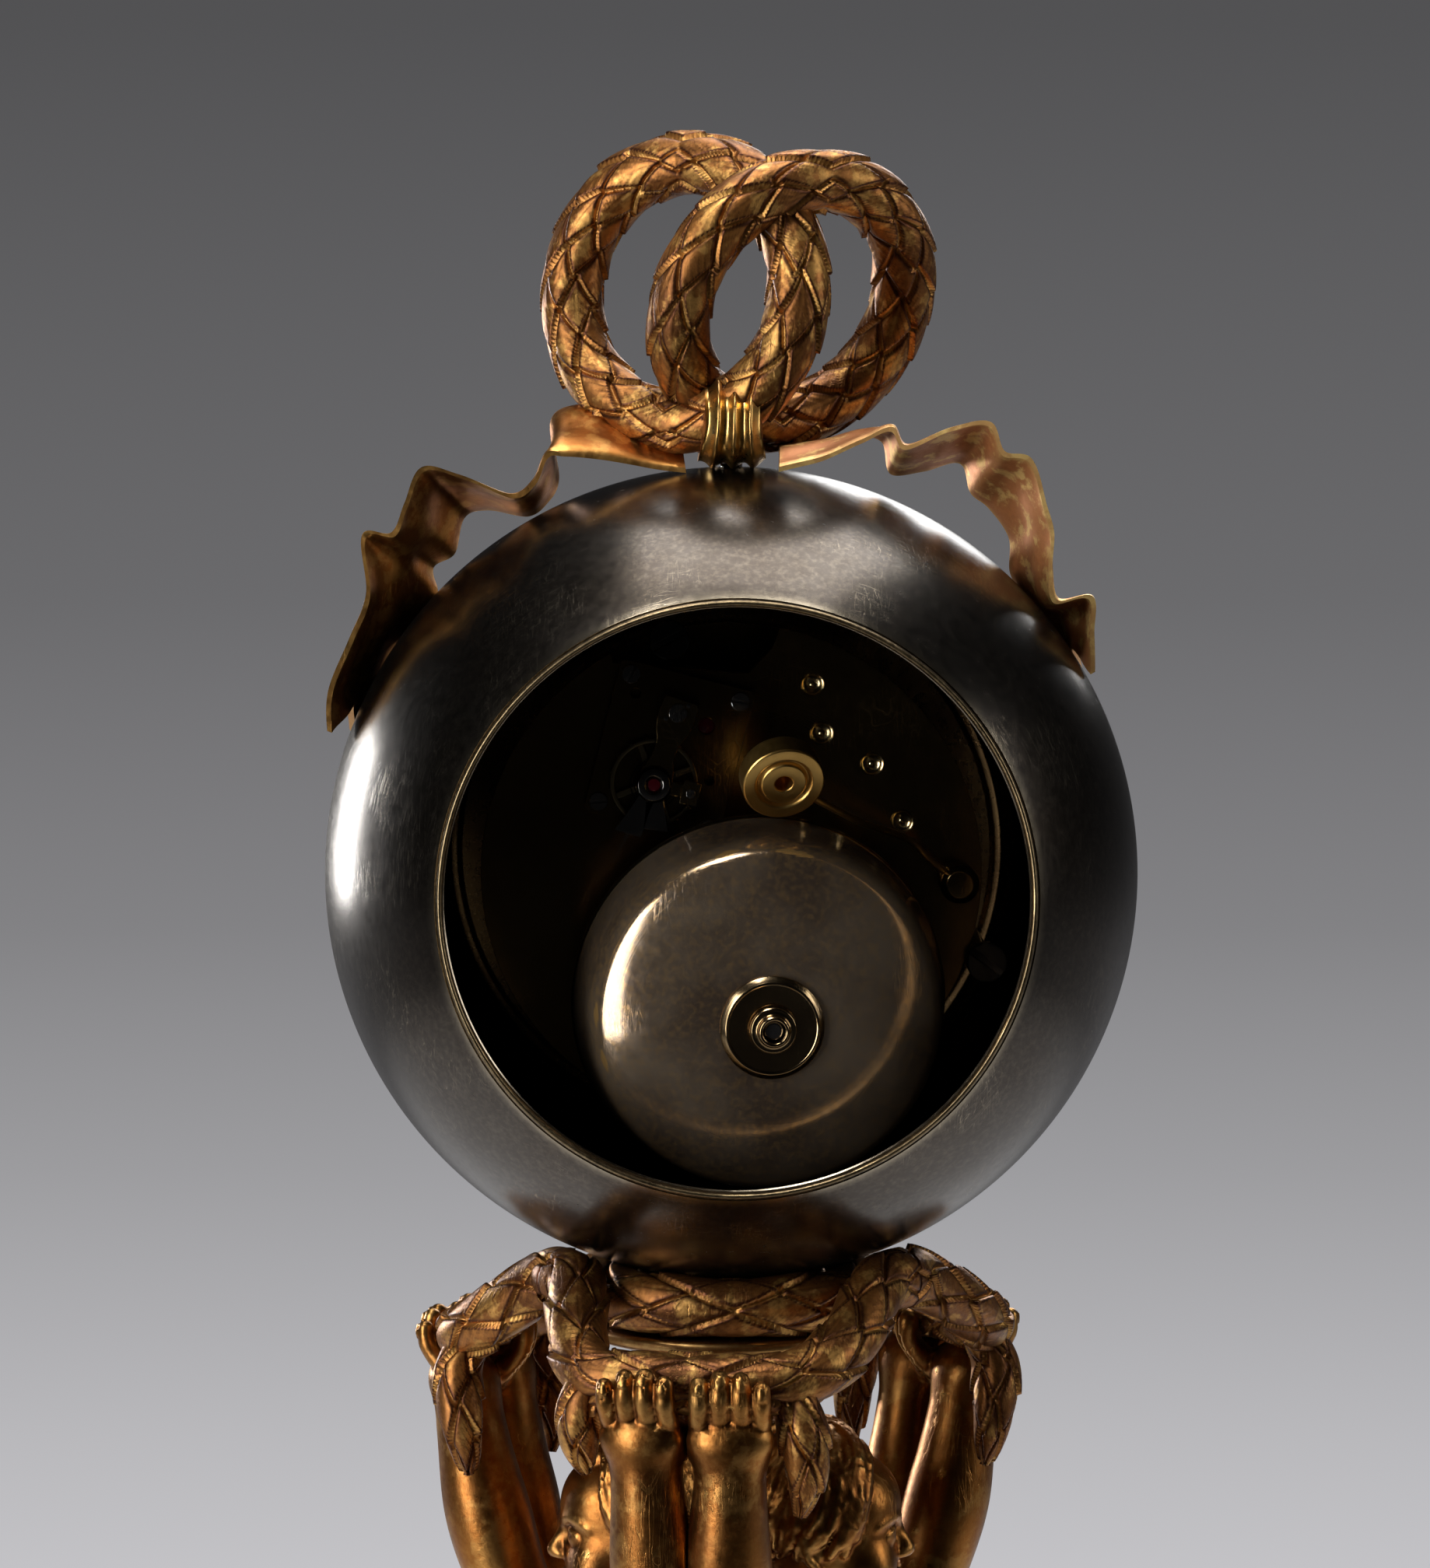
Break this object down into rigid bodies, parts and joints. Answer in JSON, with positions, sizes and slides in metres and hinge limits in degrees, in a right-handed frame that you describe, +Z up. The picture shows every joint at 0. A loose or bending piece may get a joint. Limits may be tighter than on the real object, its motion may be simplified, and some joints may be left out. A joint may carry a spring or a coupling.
{
  "type": "globe table clock",
  "caption": "Table clock with a globe case carried by figures on a round plinth, with linked laurel wreaths on top, an open back with bell and balance, and a hinged glazed front",
  "frame": {"origin": "centre of the plinth's footprint, on the table", "axes": "+Z up, +Y towards the viewer of the open back, the dial faces -Y, +X to the left of that rear view"},
  "size_m": [0.1493, 0.132, 0.461],
  "materials": {
    "patinated_bronze": "dark brown patina, satin, lightly scratched",
    "gilt_bronze": "satin fire gilding, reddish brown in the recesses",
    "movement_brass": "aged polished brass",
    "bell_bronze": "dark polished bell bronze",
    "steel": "polished steel, dulled with age",
    "blued_steel": "blued steel",
    "marble": "polished white marble with faint grey veins",
    "enamel": "white vitreous enamel, glossy",
    "glass": "clear domed glass"
  },
  "bodies": {
    "clock": {"back_plate": "movement_brass", "balance_cock": "movement_brass", "balance_spring": "blued_steel", "bell": "bell_bronze", "bell_nut": "movement_brass", "bell_stand": "steel", "bell_washer": "movement_brass", "bezel_hinge": "gilt_bronze", "cap_jewel": "steel", "case_ring": "movement_brass", "case_screw_1": "steel", "case_screw_2": "steel", "dial": "enamel", "front_plate": "movement_brass", "garland_swag_1": "gilt_bronze", "garland_swag_2": "gilt_bronze", "garland_swag_3": "gilt_bronze", "globe_shell": "patinated_bronze", "marble_plinth": "marble", "platform": "movement_brass", "plinth_foot_1": "gilt_bronze", "plinth_foot_2": "gilt_bronze", "plinth_foot_3": "gilt_bronze", "plinth_lower_moulding": "gilt_bronze", "plinth_upper_moulding": "gilt_bronze", "putto_1": "gilt_bronze", "putto_2": "gilt_bronze", "putto_3": "gilt_bronze", "rear_rim": "gilt_bronze", "ribbon_knot": "gilt_bronze", "ribbon_left": "gilt_bronze", "ribbon_right": "gilt_bronze", "seat_dish": "gilt_bronze", "seat_wreath": "gilt_bronze", "stem": "steel", "stem_lower_nut": "steel", "stem_upper_nut": "steel", "terrace": "gilt_bronze", "top_bolt": "steel", "wreath_ring_left": "gilt_bronze", "wreath_ring_right": "gilt_bronze"},
    "minute": {"centre_arbor": "movement_brass", "minute_hand": "blued_steel"},
    "hour": {"hour_wheel": "movement_brass", "hour_hand": "blued_steel"},
    "motion_wheel": {"minute_wheel": "movement_brass"},
    "third": {"third_arbor": "movement_brass"},
    "fourth": {"fourth_arbor": "movement_brass"},
    "going": {"going_barrel": "movement_brass"},
    "strike": {"strike_barrel": "movement_brass"},
    "strike_second": {"strike_second_arbor": "movement_brass"},
    "strike_third": {"strike_third_arbor": "movement_brass"},
    "strike_fourth": {"strike_fourth_arbor": "movement_brass"},
    "fly": {"strike_fly": "movement_brass"},
    "balance": {"balance_wheel": "movement_brass"},
    "curb": {"regulator": "movement_brass"},
    "hammer_body": {"hammer": "movement_brass"},
    "front_door": {"bezel": "gilt_bronze", "bezel_glass": "glass"}
  },
  "joints": [
    {"name": "minute_turn", "type": "hinge", "parent": "clock", "child": "minute", "pos_m": [0, 0, 0.328], "axis": [0, 1, 0], "continuous": true},
    {"name": "hour_turn", "type": "hinge", "parent": "clock", "child": "hour", "pos_m": [0, 0, 0.328], "axis": [0, 1, 0], "continuous": true},
    {"name": "motion_wheel_turn", "type": "hinge", "parent": "clock", "child": "motion_wheel", "pos_m": [0, 0, 0.34], "axis": [0, 1, 0], "continuous": true},
    {"name": "third_turn", "type": "hinge", "parent": "clock", "child": "third", "pos_m": [0.015, 0, 0.337], "axis": [0, 1, 0], "continuous": true},
    {"name": "fourth_turn", "type": "hinge", "parent": "clock", "child": "fourth", "pos_m": [0.012, 0, 0.349], "axis": [0, 1, 0], "continuous": true},
    {"name": "going_barrel_turn", "type": "hinge", "parent": "clock", "child": "going", "pos_m": [0.0203, 0, 0.314], "axis": [0, 1, 0], "continuous": true},
    {"name": "strike_barrel_turn", "type": "hinge", "parent": "clock", "child": "strike", "pos_m": [-0.0203, 0, 0.314], "axis": [0, 1, 0], "continuous": true},
    {"name": "strike_second_turn", "type": "hinge", "parent": "clock", "child": "strike_second", "pos_m": [-0.0315, 0, 0.3376], "axis": [0, 1, 0], "continuous": true},
    {"name": "strike_third_turn", "type": "hinge", "parent": "clock", "child": "strike_third", "pos_m": [-0.0259, 0, 0.3482], "axis": [0, 1, 0], "continuous": true},
    {"name": "strike_fourth_turn", "type": "hinge", "parent": "clock", "child": "strike_fourth", "pos_m": [-0.0166, 0, 0.3539], "axis": [0, 1, 0], "continuous": true},
    {"name": "fly_turn", "type": "hinge", "parent": "clock", "child": "fly", "pos_m": [-0.0149, 0, 0.3629], "axis": [0, 1, 0], "continuous": true},
    {"name": "balance_swing", "type": "hinge", "parent": "clock", "child": "balance", "pos_m": [0.0144, 0, 0.3456], "axis": [0, 1, 0], "range_deg": [-150, 150], "stiffness_Nm_per_rad": 0.00001},
    {"name": "regulator_turn", "type": "hinge", "parent": "clock", "child": "curb", "pos_m": [0.0144, 0, 0.3456], "axis": [0, 1, 0], "range_deg": [-8, 8]},
    {"name": "hammer_lift", "type": "hinge", "parent": "clock", "child": "hammer_body", "pos_m": [-0.0418, 0, 0.3266], "axis": [0, 1, 0], "range_deg": [-12, 0]},
    {"name": "bezel_hinge_turn", "type": "hinge", "parent": "clock", "child": "front_door", "pos_m": [0.0606, -0.049, 0.328], "axis": [0, 0, 1], "range_deg": [0, 110]}
  ],
  "couplings": [
    {"joint": "hour_turn", "follows": "minute_turn", "ratio": 0.083333},
    {"joint": "motion_wheel_turn", "follows": "minute_turn", "ratio": -0.33333},
    {"joint": "third_turn", "follows": "minute_turn", "ratio": -5},
    {"joint": "fourth_turn", "follows": "minute_turn", "ratio": 20},
    {"joint": "going_barrel_turn", "follows": "minute_turn", "ratio": -0.25},
    {"joint": "strike_second_turn", "follows": "strike_barrel_turn", "ratio": -3},
    {"joint": "strike_third_turn", "follows": "strike_barrel_turn", "ratio": 9},
    {"joint": "strike_fourth_turn", "follows": "strike_barrel_turn", "ratio": -27},
    {"joint": "fly_turn", "follows": "strike_barrel_turn", "ratio": 54}
  ]
}
